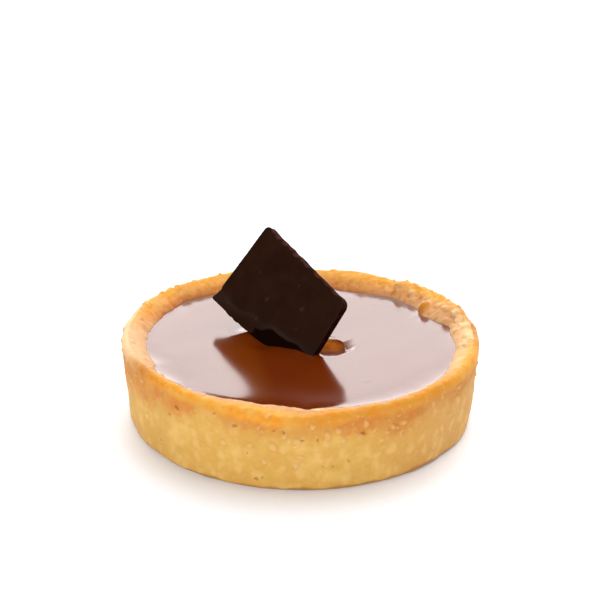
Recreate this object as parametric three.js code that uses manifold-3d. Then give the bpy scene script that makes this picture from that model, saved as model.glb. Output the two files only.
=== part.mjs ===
// A small round tart: a shortcrust case baked in a ring, filled almost level with a set
// chocolate caramel, with a thin slab of dark chocolate standing tilted in the filling.
//
// Millimetres, +Z up. The origin is on the surface the tart stands on, under its centre.
// Angles round the tart are in degrees, anticlockwise from above: 0 is +X and -90 the front.

import * as THREE from "three";
import { mergeVertices } from "three/addons/utils/BufferGeometryUtils.js";
import Module from "manifold-3d";

const wasm = await Module();
wasm.setup();

// The case
const footRadius = 38.2;
const footRounding = 0.8;
const rimRadius = 39.9;
const rimRounding = 1.3;
const crestHeight = 19.5;
const crestTilt = 0.55; // the back of the rim stands this much higher, the front lower
const wallCurve = 0.85; // below 1, the wall leans out most near its foot
const floorThickness = 4;
const innerTaper = 0.8; // the inside narrows by this much down to the floor
const slopePower = 1.5; // above 1, the rim's inner slope is steepest where it meets the filling
const crustSegments = 156;
const wallRows = 9;
const slopeRows = 5;

// The filling
const fillingLevel = 16.75;
const fillingRadius = 34.5;
const meniscusRise = 0.5;
const meniscusReach = 2.6;
const fillingSegments = 104;
const fillingRings = 10;
const gap = 0.3; // between neighbouring solids

// A pull mark in the filling, beside the slab's foot: the bottom of an ellipsoid, which is
// this wide along X and this long along Y where it meets the surface
const dentCentre = new THREE.Vector2(6.7, -3.1);
const dentWidth = 6.6;
const dentLength = 9.8;
const dentDepth = 1.15;

// The slab, laid out in its own plane: x along its long side, z up its short side, and its
// front face at y = 0
const slabThickness = 2.3;
const slabEdge = 0.3; // bevel round both faces
const slabCorners = [
  { x: -14.9, z: 10.9, rounding: 1.4 },
  { x: 13.2, z: 9.6, rounding: 1.9 },
  { x: 15.4, z: -10.6, rounding: 0.7 },
  { x: -14.9, z: -10.8, rounding: 0.5 },
];
const slabCentre = new THREE.Vector3(-4.57, 1.89, 25.67);
const slabTurn = -33.55; // about Z, which turns its front to the left
const slabLean = -27.9; // about X, which tips it backwards
const slabRoll = 24.45; // about Y, which drops its right end
const breakTooth = 0.22; // depth of the teeth on the broken top edge
const breakStep = 1.5; // length of one tooth

// The slab's front is shaved off below a ridge that runs close to its bottom edge
const ridgeHeight = -6.3;
const ridgeSlope = 7.5;
const shaveAngle = 16.5;

// What makes the rim uneven. Each swell is centred at an angle, fades out within a reach on
// both sides, and changes its size by an amount in millimetres.
const crestSwells = [
  { at: 148, reach: 22, by: 0.3 },
  { at: 92, reach: 26, by: -0.65 },
  { at: 55, reach: 4, by: -0.5 },
  { at: 50, reach: 4, by: 0.3 },
  { at: 30, reach: 24, by: 0.5 },
  { at: 33, reach: 5, by: 0.3 },
  { at: 20, reach: 5, by: 0.3 },
  { at: 7, reach: 6, by: 0.3 },
  { at: -42, reach: 14, by: 0.2 },
  { at: -57, reach: 5, by: -0.15 },
  { at: -92, reach: 17, by: -1.15 },
  { at: -99, reach: 5, by: -0.3 },
  { at: -114, reach: 18, by: -0.3 },
];
const edgeSwells = [
  { at: 140, reach: 12, by: 1.1 },
  { at: 70, reach: 18, by: -1.9 },
  { at: 50, reach: 7, by: 0.5 },
  { at: 29, reach: 13, by: -2.0 },
  { at: 14, reach: 6, by: 0.7 },
  { at: -48, reach: 42, by: 1.0 },
  { at: -88, reach: 5, by: 1.1 },
  { at: -99, reach: 6, by: -0.6 },
  { at: -128, reach: 30, by: 1.7 },
];
const footSwells = [
  { at: -102, reach: 70, by: 0.7 },
  { at: -140, reach: 14, by: -0.2 },
  { at: -38, reach: 12, by: -0.25 },
];
const crumblyMiddle = 20; // the right and back right of the rim is the most broken
const crumblyReach = 75;

// One crumb hangs from the rim over the filling
const crumbAngle = 28;
const crumbRadius = 33.6;
const crumbSize = 1.5;
const crumbHeight = 1.1;

const { degToRad, euclideanModulo, lerp, smoothstep } = THREE.MathUtils;

// 1 at the middle, falling smoothly to 0 within the reach.
function swell(angle, middle, reach) {
  const apart = Math.abs(euclideanModulo(angle - middle + 180, 360) - 180);
  return apart < reach ? 0.5 + 0.5 * Math.cos((Math.PI * apart) / reach) : 0;
}

function swells(angle, list) {
  return list.reduce((sum, s) => sum + s.by * swell(angle, s.at, s.reach), 0);
}

// A fixed random number between 0 and 1 for each cell of a grid.
function cellValue(i, j, seed) {
  const wave = Math.sin(i * 127.1 + j * 311.7 + seed * 74.7) * 43758.5453;
  return wave - Math.floor(wave);
}

// Smooth noise from -1 to 1 over the case's surface, whose cells are about `size` wide. It
// joins up after a full turn.
function noise(angle, along, size, seed) {
  const cells = Math.round((2 * Math.PI * rimRadius) / size);
  const u = (euclideanModulo(angle, 360) / 360) * cells;
  const v = along / size;
  const i = Math.floor(u);
  const j = Math.floor(v);
  const across = smoothstep(u - i, 0, 1);
  const up = smoothstep(v - j, 0, 1);
  const at = (di, dj) => cellValue((i + di) % cells, j + dj, seed);
  const low = lerp(at(0, 0), at(1, 0), across);
  const high = lerp(at(0, 1), at(1, 1), across);
  return 2 * lerp(low, high, up) - 1;
}

function crumbliness(angle) {
  return 0.4 + 0.6 * swell(angle, crumblyMiddle, crumblyReach);
}

// How far the crumb of the rim stands up or sinks in.
function rimRelief(angle, along) {
  const lumps = 0.42 * noise(angle, along, 4.2, 1) + 0.25 * noise(angle, along, 2.4, 2);
  return lumps * crumbliness(angle);
}

// The single large crumb, as a height above the rim's slope.
function crumb(angle, radius) {
  const sideways = degToRad(angle - crumbAngle) * radius;
  const apart = Math.hypot(sideways, radius - crumbRadius) / crumbSize;
  return crumbHeight * Math.exp(-(apart ** 2));
}

// The wall took the ring's smooth shape, so it is only a little uneven.
function wallRelief(angle, height) {
  return 0.14 * noise(angle, height, 7, 3) + 0.09 * noise(angle, height, 3, 4);
}

function rimCrest(angle) {
  const tilt = crestTilt * Math.sin(degToRad(angle));
  return crestHeight + tilt + swells(angle, crestSwells) + 0.6 * rimRelief(angle, 0);
}

// Where the crust meets the filling.
function edgeRadius(angle) {
  return fillingRadius + swells(angle, edgeSwells) + 0.2 * noise(angle, 0, 3, 5);
}

// The case's section at one angle, from the middle of its underside out, up the wall, over
// the rim, down the inside and back to the middle.
function crustProfile(angle) {
  const foot = footRadius + swells(angle, footSwells);
  const crest = rimCrest(angle);
  const edge = edgeRadius(angle);
  const wallTop = crest - rimRounding;
  const profile = [new THREE.Vector2(0, 0)];
  const add = (radius, height) => profile.push(new THREE.Vector2(radius, height));

  for (const turn of [0, 45]) {
    const inwards = footRounding * (1 - Math.sin(degToRad(turn)));
    add(foot - inwards, footRounding * (1 - Math.cos(degToRad(turn))));
  }
  for (let row = 0; row <= wallRows; row++) {
    const height = lerp(footRounding, wallTop, row / wallRows);
    const lean = (rimRadius - foot) * (height / wallTop) ** wallCurve;
    add(foot + lean + wallRelief(angle, height), height);
  }
  for (const turn of [30, 60, 90]) {
    const inwards = rimRounding * (1 - Math.cos(degToRad(turn)));
    const upwards = rimRounding * Math.sin(degToRad(turn));
    add(rimRadius - inwards + wallRelief(angle, wallTop), wallTop + upwards);
  }
  const crestRadius = rimRadius - rimRounding;
  for (let row = 1; row <= slopeRows; row++) {
    const t = row / slopeRows;
    const radius = lerp(crestRadius, edge, t);
    const slope = lerp(crest, fillingLevel + meniscusRise, t ** slopePower);
    const lump = Math.sin(Math.PI * t) * rimRelief(angle, crestRadius - radius);
    add(radius, slope + lump + crumb(angle, radius));
  }
  add(edge - innerTaper / 2, (fillingLevel + floorThickness) / 2);
  add(edge - innerTaper, floorThickness);
  add(0, floorThickness);
  return profile;
}

// The filling's section at one angle: flat, with a hollow meniscus where it wets the crust.
function fillingProfile(angle) {
  const edge = edgeRadius(angle) - gap;
  const underside = floorThickness + gap;
  const profile = [
    new THREE.Vector2(0, underside),
    new THREE.Vector2(edge - innerTaper, underside),
    new THREE.Vector2(edge - innerTaper / 2, (fillingLevel + floorThickness) / 2),
  ];
  for (let ring = 0; ring < fillingRings; ring++) {
    const radius = edge * (1 - (ring / fillingRings) ** 2);
    const rise = (meniscusRise - gap / 2) * Math.exp((radius - edge) / meniscusReach);
    profile.push(new THREE.Vector2(radius, fillingLevel + rise));
  }
  profile.push(new THREE.Vector2(0, fillingLevel));
  return profile;
}

// A solid of revolution whose section changes with the angle.
function turned(profileAt, segments) {
  const rows = profileAt(0).length;
  const geometry = new THREE.LatheGeometry(profileAt(0), segments);
  const position = geometry.getAttribute("position");
  for (let i = 0; i <= segments; i++) {
    const angle = (360 * (i % segments)) / segments;
    const cosine = Math.cos(degToRad(angle));
    const sine = Math.sin(degToRad(angle));
    profileAt(angle).forEach((point, row) => {
      position.setXYZ(i * rows + row, point.x * cosine, point.x * sine, point.y);
    });
  }
  return geometry;
}

// A closed geometry as a manifold solid, without the triangles that shrank to a line.
function toSolid(geometry) {
  const bare = geometry.clone();
  bare.deleteAttribute("normal");
  bare.deleteAttribute("uv");
  const merged = mergeVertices(bare);
  const index = merged.getIndex().array;
  const triVerts = [];
  for (let i = 0; i < index.length; i += 3) {
    const [a, b, c] = index.slice(i, i + 3);
    if (a !== b && b !== c && c !== a) triVerts.push(a, b, c);
  }
  const vertProperties = merged.getAttribute("position").array;
  return new wasm.Manifold(
    new wasm.Mesh({ numProp: 3, vertProperties, triVerts: new Uint32Array(triVerts) }),
  );
}

function toGeometry(solid) {
  const mesh = solid.getMesh();
  const geometry = new THREE.BufferGeometry();
  const positions = new THREE.BufferAttribute(mesh.vertProperties, 3);
  geometry.setAttribute("position", positions);
  geometry.setIndex(new THREE.BufferAttribute(mesh.triVerts, 1));
  geometry.computeVertexNormals();
  return geometry;
}

// The slab's outline with rounded corners, its top edge broken into small teeth. `grow`
// moves every side outwards.
function slabOutline(grow) {
  const corners = slabCorners.map(({ x, z, rounding }) => ({
    point: new THREE.Vector2(x + Math.sign(x) * grow, z + Math.sign(z) * grow),
    rounding,
  }));
  const shape = new THREE.Shape();
  corners.forEach(({ point, rounding }, k) => {
    const before = corners[(k + 3) % 4].point;
    const after = corners[(k + 1) % 4].point;
    const towards = (other) =>
      point.clone().add(other.clone().sub(point).setLength(rounding));
    const start = towards(before);
    const end = towards(after);
    if (k === 0) shape.moveTo(start.x, start.y);
    else if (k === 1) addTeeth(shape, start);
    else shape.lineTo(start.x, start.y);
    shape.quadraticCurveTo(point.x, point.y, end.x, end.y);
  });
  shape.closePath();
  return shape;
}

// A run of shallow uneven teeth from where the outline is now to `end`.
function addTeeth(shape, end) {
  const start = shape.currentPoint.clone();
  const side = end.clone().sub(start);
  const teeth = Math.round(side.length() / breakStep);
  for (let tooth = 1; tooth < teeth; tooth++) {
    const point = start.clone().addScaledVector(side, tooth / teeth);
    point.y -= breakTooth * cellValue(tooth, 0, 6);
    shape.lineTo(point.x, point.y);
  }
  shape.lineTo(end.x, end.y);
}

// The slab in its own plane, front face at y = -grow, back face at slabThickness + grow.
function slabBlank(grow) {
  const thickness = slabThickness + 2 * grow;
  return new THREE.ExtrudeGeometry(slabOutline(grow - slabEdge), {
    depth: thickness - 2 * slabEdge,
    bevelThickness: slabEdge,
    bevelSize: slabEdge,
    bevelSegments: 1,
    curveSegments: 4,
  })
    .translate(0, 0, slabEdge - thickness + grow)
    .rotateX(Math.PI / 2);
}

// A block whose back face is the plane that shaves the slab's front below the ridge.
function shavingBlock() {
  const size = 80;
  return new THREE.BoxGeometry(size, size, size)
    .translate(0, -size / 2, 0)
    .rotateX(degToRad(shaveAngle))
    .rotateY(degToRad(-ridgeSlope))
    .translate(0, 0, ridgeHeight);
}

function makeCrust() {
  const material = new THREE.MeshStandardMaterial({ color: 0xdca45c, roughness: 0.85 });
  const mesh = new THREE.Mesh(toGeometry(toSolid(turned(crustProfile, crustSegments))), material);
  mesh.name = "crust";
  return mesh;
}

function makeSlab() {
  const solid = toSolid(slabBlank(0)).subtract(toSolid(shavingBlock()));
  const material = new THREE.MeshStandardMaterial({ color: 0x2a1710, roughness: 0.4 });
  const mesh = new THREE.Mesh(toGeometry(solid), material);
  mesh.name = "chocolate_slab";
  mesh.position.copy(slabCentre);
  mesh.rotation.set(degToRad(slabLean), degToRad(slabRoll), degToRad(slabTurn), "ZXY");
  mesh.updateMatrix();
  return mesh;
}

// The ellipsoid that dents the filling. Half of its lower half is below the surface.
function dentBlank() {
  const halfHeight = 2 * dentDepth;
  const widest = 2 / Math.sqrt(3); // its half width, compared with that at the surface
  return new THREE.SphereGeometry(1, 28, 20)
    .scale((widest * dentWidth) / 2, (widest * dentLength) / 2, halfHeight)
    .translate(dentCentre.x, dentCentre.y, fillingLevel + halfHeight - dentDepth);
}

// The filling, cut round the slab and dented beside it.
function makeFilling(slab) {
  const slot = toSolid(slabBlank(gap).applyMatrix4(slab.matrix));
  const solid = toSolid(turned(fillingProfile, fillingSegments))
    .subtract(slot)
    .subtract(toSolid(dentBlank()));
  const material = new THREE.MeshStandardMaterial({ color: 0x8a4a1c, roughness: 0.12 });
  const mesh = new THREE.Mesh(toGeometry(solid), material);
  mesh.name = "filling";
  return mesh;
}

const slab = makeSlab();
const tart = new THREE.Group();
tart.add(makeCrust(), makeFilling(slab), slab);

export default tart;
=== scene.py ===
"""A small chocolate tart: a baked shortcrust case, glossy caramel filling and a dark slab.

Lengths are millimetres until a mesh is made, as in the part's source, and angles round the
tart are degrees, anticlockwise from above: 0 is +X (right) and -90 the front.
"""
from math import cos, hypot, pi, radians, sin, tan

import bpy
import numpy as np
from mathutils import Matrix, Vector


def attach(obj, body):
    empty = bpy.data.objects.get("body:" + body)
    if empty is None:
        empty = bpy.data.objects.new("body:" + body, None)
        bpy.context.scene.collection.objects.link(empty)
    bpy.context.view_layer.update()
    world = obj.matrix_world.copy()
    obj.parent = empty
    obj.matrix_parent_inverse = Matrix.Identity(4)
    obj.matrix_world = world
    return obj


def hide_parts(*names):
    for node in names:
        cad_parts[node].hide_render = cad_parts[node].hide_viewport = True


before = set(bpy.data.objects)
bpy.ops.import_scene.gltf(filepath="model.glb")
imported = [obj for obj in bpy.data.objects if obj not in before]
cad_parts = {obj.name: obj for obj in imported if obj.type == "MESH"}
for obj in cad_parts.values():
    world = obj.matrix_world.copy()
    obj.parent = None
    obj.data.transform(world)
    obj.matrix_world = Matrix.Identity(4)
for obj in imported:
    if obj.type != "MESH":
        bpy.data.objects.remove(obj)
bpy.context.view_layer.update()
scene = bpy.context.scene

MM = 0.001

# The case, as in the part's source, apart from the drop along its front
FOOT_RADIUS = 38.2
FOOT_ROUNDING = 0.8
RIM_RADIUS = 39.9
RIM_ROUNDING = 1.3
CREST_HEIGHT = 19.5
CREST_TILT = 0.55
FRONT_DROP = 0.62
FRONT_STRETCH = (-80, 62, 25)  # middle, reach, and fade at both ends
WALL_CURVE = 0.85
FLOOR_THICKNESS = 4
INNER_TAPER = 0.8
SLOPE_POWER = 1.5
RIM_SHARE = 0.6  # how much of the rim's lumps its crest and slope follow

# The filling, as in the part's source
FILLING_LEVEL = 16.75
FILLING_RADIUS = 34.5
INNER_MIDDLE = (FILLING_LEVEL + FLOOR_THICKNESS) / 2  # half way down the filling's side
MENISCUS_RISE = 0.5
MENISCUS_REACH = 2.6
DENT_CENTRE = (6.7, -3.1)
DENT_WIDTH = 6.6
DENT_LENGTH = 9.8
DENT_DEPTH = 1.15

# The pull mark in shares of its half length and depth: places and depths of its section from
# near to far, and how its middle line climbs at the right
DENT_FLOOR = ([-0.56, -0.49, -0.2, 1.05], [0, 0.48, 1.0, 0.2])
DENT_LIP = ([-1.02, -0.92, -0.5, -0.37, 0.4], [0, 0.04, 0.52, 0.45, 0])
DENT_NEAR_EDGE = 0.51
DENT_SLANT = 0.12
DENT_CLIMB = 0.5
DENT_CLIMB_START = 0.45

# The rest of the filling's surface
FILLING_OVERLAP = 0.15  # it reaches just into the crust
WAVE_HEIGHT = 0.012
RIPPLE_HEIGHT = 0.006
EDGE_REFLECTION_REACH = 2.4  # how wide the band of painted reflection along the edge is

# The slab in its own plane, as in the part's source: its corners' x, z and rounding
SLAB_THICKNESS = 2.3
SLAB_EDGE = 0.3
SLAB_CORNERS = [(-14.9, 10.9, 1.4), (13.2, 9.6, 1.9), (15.4, -10.6, 0.7), (-14.9, -10.8, 0.5)]
SLAB_CENTRE = (-4.57, 1.89, 25.67)
SLAB_TURNS = [(-33.55, "Z"), (-27.9, "X"), (24.45, "Y")]
RIDGE_HEIGHT = -6.3
RIDGE_SLOPE = 7.5
RIDGE_SOFTNESS = (0.5, 0.9)  # at the left end and from the middle rightwards
SHAVE_ANGLE = 16.5
BREAK_TOOTH = 0.22
BREAK_STEP = 1.5
BREAK_INSET = 0.08
LOW_STEP = 1.1
SLAB_SIDES = -10  # points beyond this are on its left or its lower side
ARRIS_WIDTH = 0.1
SCUFF_DEPTH = 0.06
CUT_SHADE_START = (1.2, 0.1)  # below the ridge, where the cut's painted shade starts at its left and right

# Raggedness along the slab's edges: size, points from one step to the next, and seed
ARRIS_RAGS = (0.1, 7, 12)
BREAK_RAGS = (0.15, 3, 14)
FLAKE_RAGS = (0.35, 5, 16)
FLAKE_TINTS = (0.7, 4, 18)
SIDE_RAGS = (0.16, 4, 20)

# Swells of the crest, filling's edge, foot and filling's rise: middle, reach and size
CREST_SWELLS = [
    (148, 22, 0.3), (92, 26, -0.65), (55, 4, -0.5), (50, 4, 0.3), (30, 24, 0.5), (33, 5, 0.3),
    (20, 5, 0.3), (7, 6, 0.3), (-42, 14, 0.2), (-57, 5, -0.15), (-92, 17, -1.15),
    (-99, 5, -0.3), (-114, 18, -0.3), (-79, 13, -0.4),
]
EDGE_SWELLS = [
    (140, 12, 1.1), (70, 18, -1.9), (50, 7, 0.5), (29, 13, -2), (14, 6, 0.7), (-48, 42, 1),
    (-88, 5, 1.1), (-99, 6, -0.6), (-128, 30, 1.7), (-64, 48, 1.25), (-116, 30, 0.5),
    (-147, 12, 1.1),
]
FOOT_SWELLS = [(-102, 70, 0.7), (-140, 14, -0.2), (-38, 12, -0.25)]
BRIM_SWELLS = [(-50, 35, 0.6), (-145, 22, 0.6)]
FLAT_SWELLS = [(80, 115, 1), (80, 50, -0.4), (-122, 20, 0.5)]

# Where the filling climbs to the crust, as middle and reach, and the climb's shape
CLIMB_STRETCH = (-120, 18)
CLIMB_REACH = 3.1
CLIMB_SLOPE = 0.32
CLIMB_SOFTNESS = 0.3

# Where the rim is crumbly, and its largest crumb
CRUMBLY_STRETCH = (20, 75)
LEAST_CRUMBLY = 0.4
CRUMB_ANGLE = 32.5
CRUMB_RADIUS = 33.9
CRUMB_SIZE = (1.7, 1.25)  # sideways and towards the middle
CRUMB_HEIGHT = 1.5

# Layers of noise on the crust: size, width of its cells, and seed
NOISES = {
    "rim": [(0.42, 4.2, 1), (0.25, 2.4, 2)],
    "wall": [(0.14, 7, 3), (0.09, 3, 4)],
    "front crest": [(0.1, 1.1, 7)],
    "edge": [(0.2, 3, 5)],
    "edge grain": [(0.14, 1.3, 8)],
    "foot": [(0.12, 3.2, 9)],
    "foot shade": [(0.3, 2.2, 9)],
    "brown border": [(1.3, 6, 81), (0.9, 2.6, 82)],
    "brown blotches": [(0.15, 3.1, 83)],
    "marks sideways": [(0.45, 1.3, 41), (0.22, 0.6, 43)],
    "marks along": [(0.45, 1.1, 42), (0.22, 0.6, 44)],
    "roughness": [(0.07, 1.7, 61), (0.06, 0.8, 62)],
    "coarse crumbs": [(0.9, 2.4, 251)],
    "fine crumbs": [(0.9, 1.0, 301)],
}

# Domes scattered over the crust: width of a cell, seed, share of the cells that hold one,
# smallest and largest radius, and how much flatter than round they are
DOMES = {
    "blisters": (2.3, 71, 0.34, 0.45, 0.95, 1.0),
    "faint blisters": (3.2, 101, 0.5, 0.9, 1.6, 0.7),
    "grits": (1.1, 131, 0.3, 0.25, 0.5, 1.0),
    "pits": (4.6, 191, 0.22, 0.25, 0.5, 1.0),
    "pebbles": (2.6, 331, 0.85, 1.1, 1.8, 1.6),
}
DOME_DRAWS = (0, 11, 23, 37)  # added to the seed for a dome's place, its chance and its width
DOME_JITTER = 0.7

# How far each thing stands out of the crust or sinks in
BLISTER_HEIGHT = 0.42
FAINT_HEIGHT = 0.05
GRIT_HEIGHT = 0.05
PIT_DEPTH = 0.22
HOLLOW_DEPTH = 0.06
LUMP_HEIGHT = 0.35
PEBBLE_HEIGHT = 0.36
SPECK_HEIGHT = 0.4
CRUMBS_HEIGHT = (0.08, 0.17)  # where the rim is least and most crumbly

# The part of the wall that the photograph shows: middle and reach
SEEN_STRETCH = (-90, 95)
MARK_SPREAD = 1.5  # of browner spots and of hollows round blisters, over their marks' radius
BLISTER_LEVEL = 9  # scattered blisters start at this height
BLISTER_FADE = 5
CREST_BAND = 1.3  # the wall is crumbly this far below the crest
CREST_FADE = 1.1

# The wall is browned above this height, which swells: middle, reach and size
BROWN_HEIGHT = 10.6
BROWN_FADE = 6.5
BROWN_SWELLS = [
    (-119, 11, 0.8), (-73, 8, -0.5), (-58, 13, -2.4), (-30, 16, -1.4), (-146, 15, -1.5),
    (8, 24, 3), (-164, 22, -3),
]
# The wall's colour is darkened below this height as painted shade under the foot, and this height
# swells too
SHADE_HEIGHT = 1.0
SHADE_FADE = 0.5
SHADE_SWELLS = [(-45, 22, 0.5)]

# Stretches of the crust with a colour of their own: middle, reach, and fade at both ends
COLOUR_STRETCHES = {
    "wall": {"tan": [(-30, 45, 30)]},
    "slope": {
        "paleside": [(-6, 26, 12)],
        # the back of the slope is browner, partly its own colour and partly painted shade
        "backward": [(96, 72, 40), (122, 66, 26)],
        # painted shade on the slope under the back rim
        "painted_back_shade": [(112, 58, 14)],
    },
    "both": {
        "amber": [(-75, 75, 15), (92, 84, 22)],
        "deeper": [(-62, 38, 18)],
        # painted light on the left side of the wall and slope
        "pale": [(-176, 28, 17)],
    },
}

# Marks listed one by one where the wall is seen: angle, height and radius
BROWN_SPOTS = [
    (-130, 15.2, 1.9), (-125.5, 15.9, 1.6), (-139.5, 15.8, 1.2), (-105.5, 15.8, 1.7),
    (-97.2, 15.7, 1.3), (-101.2, 15.5, 1.4), (-108.5, 16.6, 1.1), (-77.8, 15.9, 1.9),
    (-74.6, 15.4, 1.1), (-72.9, 14.2, 0.9), (-70.8, 15.8, 1.7), (-71.2, 13.4, 0.9),
    (-68.4, 14.2, 0.8), (-65.3, 16.3, 1.4), (-54.5, 15.4, 1.2), (-76.6, 13.6, 1),
]
# Blisters, painted paler partly as their own colour and partly as painted highlight
PALE_BLISTERS = [
    (-32, 12.6, 0.85), (-33.2, 13.3, 0.7), (-46.4, 15.4, 0.6), (-49.8, 17.2, 0.4),
    (-41.8, 16, 0.6), (-59.4, 15.5, 0.55), (-63.3, 14.9, 0.5), (-57.2, 13.2, 0.55),
    (-61.3, 13, 0.5), (-59.8, 12.8, 0.5), (-70.3, 14.9, 0.75), (-74.8, 15.3, 0.4),
    (-67.5, 13, 0.65), (-71.7, 12.7, 0.55), (-65, 10.8, 0.65), (-62.9, 11.8, 0.5),
    (-58, 11.4, 0.45), (-58, 10.6, 0.45), (-55.6, 16.8, 0.45), (-55.2, 11.9, 0.4),
    (-72.9, 16.8, 0.45), (-71.6, 16.7, 0.4), (-22.5, 8, 0.6), (-33, 16, 0.6),
    (-101.3, 13.5, 0.5), (-102.5, 14.6, 0.45), (-99.5, 16.9, 0.5), (-94.4, 13.1, 0.6),
    (-92.6, 12.2, 0.55), (-90.7, 11.9, 0.55), (-90.7, 10.8, 0.55), (-89.5, 8.2, 0.8),
    (-90.9, 6.1, 0.75), (-97.8, 10.5, 0.8), (-100.5, 6.4, 0.7), (-86.4, 15, 0.6),
    (-79.1, 14.3, 0.6), (-81.7, 13, 0.8), (-83.6, 2, 0.35), (-146.9, 16.3, 0.7),
    (-146, 8.6, 0.9), (-151.1, 16.7, 0.6), (-155.6, 14.2, 0.6), (-138.9, 3.8, 0.4),
    (-113, 9.8, 0.6), (-76.5, 11.5, 0.7), (-104.7, 10.2, 0.6), (-76.7, 15.3, 0.4),
]
WALL_PITS = [
    (-130, 15.2, 0.5), (-129.4, 14.8, 0.65), (-128.9, 14.3, 0.5), (-71, 13.1, 0.5),
    (-133.2, 12.5, 0.4), (-116, 16.1, 0.35), (-108.9, 14.2, 0.55), (-97.2, 14, 0.45),
    (-94.6, 13.7, 0.35), (-89.3, 12.1, 0.4), (-84.6, 11.9, 0.3), (-105.4, 8.5, 0.3),
    (-79.6, 5.9, 0.28), (-82.6, 5.8, 0.32), (-75.3, 7.1, 0.25), (-74.9, 6.6, 0.25),
    (-136.2, 18.3, 0.35), (-51.1, 11.3, 0.3), (-101.2, 2.8, 0.25), (-103, 2.4, 0.25),
]

# Lumps of the rim's slope, pale crumbs on the front of its crest with a painted highlight, and
# places on the slope painted browner as shade: angle, distance from the tart's middle, and radius
RIM_LUMPS = [
    (36, 34.1, 1), (26, 32.9, 0.8), (31, 37, 1.1), (18.4, 35, 0.6), (17.7, 36.5, 0.6),
    (6.5, 35.1, 0.6), (15, 33, 0.6), (52, 37.8, 0.9), (43.7, 36.5, 1), (149, 34.4, 0.8),
    (156, 32.9, 0.7), (165, 33.7, 0.8), (173.5, 36.1, 0.8), (159, 37.8, 0.7),
    (-169.5, 37.6, 0.7), (-156, 36.5, 0.7),
]
CREST_CRUMBS = [
    (-85.6, 37, 0.5), (-84.4, 37, 0.55), (-83.2, 36.9, 0.45), (-90.3, 36.7, 0.35),
    (-80.6, 37, 0.4), (-101.3, 36.5, 0.4), (-105.6, 36.7, 0.35), (-111.3, 37, 0.45),
    (-75.2, 37.1, 0.3), (-66, 37.3, 0.35), (-58.8, 37.2, 0.3), (-53, 37.3, 0.4),
    (-44.2, 37.2, 0.35), (-122.4, 37.3, 0.35), (-128.1, 37.3, 0.45), (-136, 37.1, 0.4),
    (-142.5, 37, 0.45), (-149, 36.9, 0.5),
]
SHADED_PLACES = [
    (33, 32.9, 1.2), (30.5, 32.6, 0.8), (52, 35.9, 0.7), (48, 35.2, 0.6), (44.5, 34.6, 0.6),
    (56.5, 36, 0.6), (70, 34.6, 1.3), (76, 34.2, 1.2), (22.5, 33.6, 0.6), (27, 33.4, 0.5),
    (17, 34.6, 0.5), (11, 34.6, 0.4), (26, 36.6, 0.5), (38, 36.2, 0.5), (163, 36.6, 0.9),
    (157.5, 35.4, 0.6), (147, 36, 0.6), (138, 35.7, 0.7), (126, 35.4, 0.7), (170, 36.9, 0.6),
]

# Fine lines in the filling's skin: start, end, half width and depth
SKIN_LINES = [
    ((10.2, -3.6), (12.4, -0.9), 0.4, 0.03), ((5.6, 3.1), (8, 2.4), 0.4, 0.05),
    ((12.8, -21.9), (15.4, -20.8), 0.32, 0.03), ((25.6, 14), (28.6, 17.2), 0.55, 0.07),
    ((-16.8, -17.4), (-14.9, -21.4), 0.35, 0.012), ((-23.7, -25.7), (-21.3, -27.6), 0.32, 0.04),
    ((-25.3, -22.5), (-24.7, -23.1), 0.4, 0.05), ((-19.2, -14.9), (-18.1, -16), 0.45, 0.03),
    ((-16.6, -14.6), (-15.9, -15.6), 0.35, 0.015),
]

# The caramel is painted paler along these parts of its edge, as painted reflection: middle, reach
# and strength
EDGE_REFLECTION_PLACES = [(80, 110, 1), (48, 30, 0.5), (136, 24, 0.5), (-146, 26, 0.8)]

# The caramel is painted lighter round this line, as painted light: start, end and half width
PAINTED_LIGHT_LINE = ((-16.3, 2.5), (-9.9, -34.0), 7.0)

# The filling rises and sinks against the slab: place, reach and rise
SLAB_LIFTS = [
    (-11.8, 3.8, 2.7, 0.55), (-8, -1.2, 2.6, -0.6), (-0.3, -5, 2.4, 0.35),
    (3.2, -6.9, 2, 0.3),
]

# Swells of the slab's ridge, shave, left side and lower teeth: middle, reach and size
RIDGE_SWELLS = [(-8, 5.5, -1.3), (-1, 3, -0.6), (2.5, 3, 0.15), (9.7, 3, 0.5)]
SHAVE_SWELLS = [(4, 7, 0.45)]
LEFT_SWELLS = [(-10.6, 2.2, -0.8), (-7.6, 0.8, 0.25)]
LOW_TEETH = [(-8, 6, 0.5)]
# Chips in the front arris of the slab's broken edge: place, half width and size
EDGE_CHIPS = [
    (-12.6, 0.7, 0.25), (-10.7, 0.8, 0.5), (-8.5, 0.9, 0.45), (-6.2, 0.6, 0.3), (-4.2, 0.8, 0.6),
    (-2, 0.6, 0.3), (-0.5, 0.9, 0.5), (3.2, 1, 0.45), (6.6, 0.7, 0.25), (9.5, 1.2, 0.3),
]
# Small scuffs on the slab's face: x, z, radius
SCUFFS = [
    (-3.3, -1.8, 0.7), (5.4, 2, 0.8), (-2.6, -6.8, 0.6), (-10.9, -8.6, 0.7), (7.2, -2.4, 0.4),
    (1.2, 5.4, 0.35), (-9, 1.6, 0.35),
]

# How fine the meshes are
CRUST_SEGMENTS = 880
GRAIN = 0.28  # between the rows of the crust's mesh where it shows
FILLING_SEGMENTS = 560
FILLING_SPACING = 0.24
SLAB_OUTLINE_POINTS = 400
CORNER_POINTS = 9
SLAB_RINGS = 44
SLAB_SIDE_ROWS = 8

# The studio's brightness changes at certain elevations: degrees, half the fade's width, and
# change, all the way round and then behind the tart
ROOM_RADIANCE = 0.06
ROOM_COLOUR = (1, 0.965, 0.955, 1)
WALL_EDGES = [(7, 3, 1.9), (15, 3, -1.96)]
BACKDROP_EDGES = [(1, 1, 2.2), (15, 3, 1.45), (23, 1.9, 1.25), (31, 1.5, -1.9), (35.5, 2, -2.7)]
BACKDROP_SIDES = (0.6, 0.8)  # how far towards +Y it starts and is full

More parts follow.
